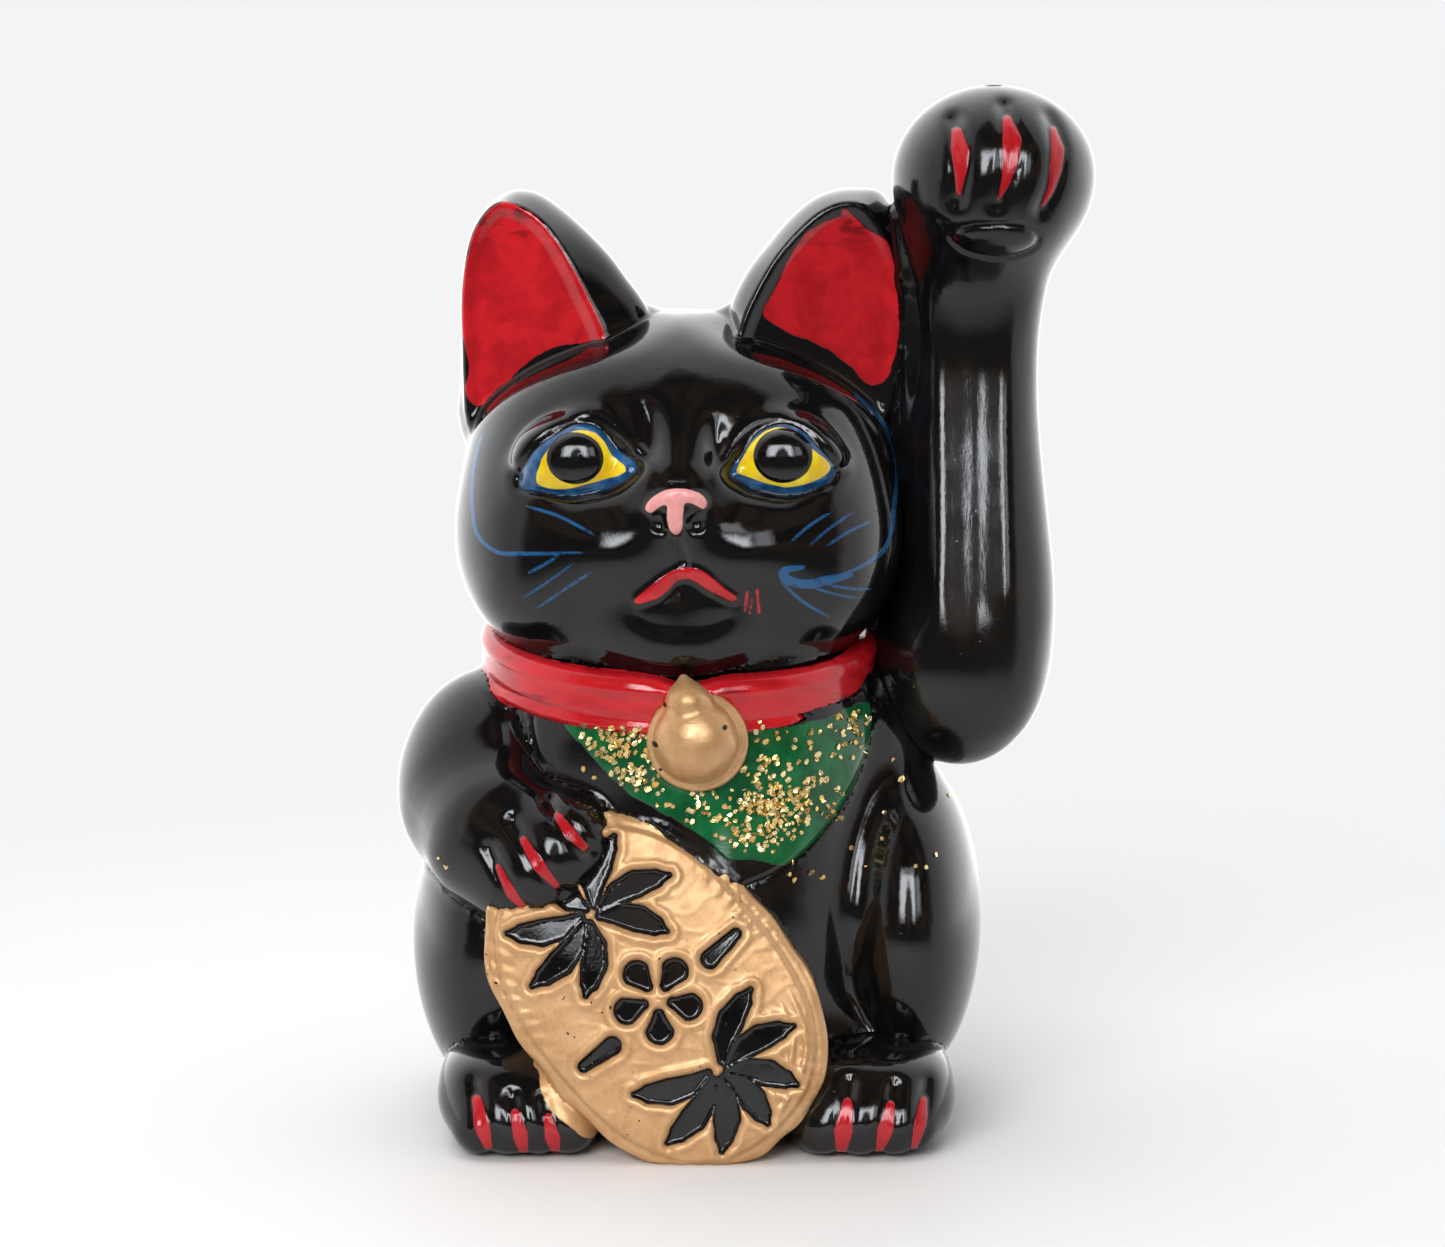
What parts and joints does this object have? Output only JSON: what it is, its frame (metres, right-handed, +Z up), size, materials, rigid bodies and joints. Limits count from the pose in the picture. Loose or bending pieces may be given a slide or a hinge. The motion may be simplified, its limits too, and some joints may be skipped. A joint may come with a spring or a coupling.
{
  "type": "beckoning cat figurine",
  "caption": "Seated cat figurine, hollow cast earthenware, with one forepaw raised, a coin held across its lap, collar, bell and bib, and a bung in its base.",
  "frame": {"origin": "middle of the figure's footprint box, on the table it stands on", "axes": "+Z up; the cat faces -Y; its raised left forepaw is on the +X side"},
  "size_m": [0.1195, 0.0844, 0.18],
  "materials": {
    "black_lacquer": null,
    "red_paint": "brushed gloss red over fired earthenware",
    "green_paint": "gloss green with scattered gold flakes over fired earthenware",
    "gold_paint": "satin gold paint over fired earthenware",
    "rubber": "matt moulded rubber"
  },
  "bodies": {
    "figure": {"torso_shell": "black_lacquer", "head_shell": "black_lacquer", "raised_arm_shell": "black_lacquer", "coin_arm": "black_lacquer", "left_foot": "black_lacquer", "right_foot": "black_lacquer", "tail": "black_lacquer", "collar_band": "red_paint", "bib": "green_paint", "bell": "gold_paint", "koban_plaque": "gold_paint"},
    "bung": {"base_stopper": "rubber"}
  },
  "joints": [
    {"name": "bung_pull", "type": "slide", "parent": "figure", "child": "bung", "axis": [0, 0, -1], "range_m": [0, 0.012]}
  ]
}
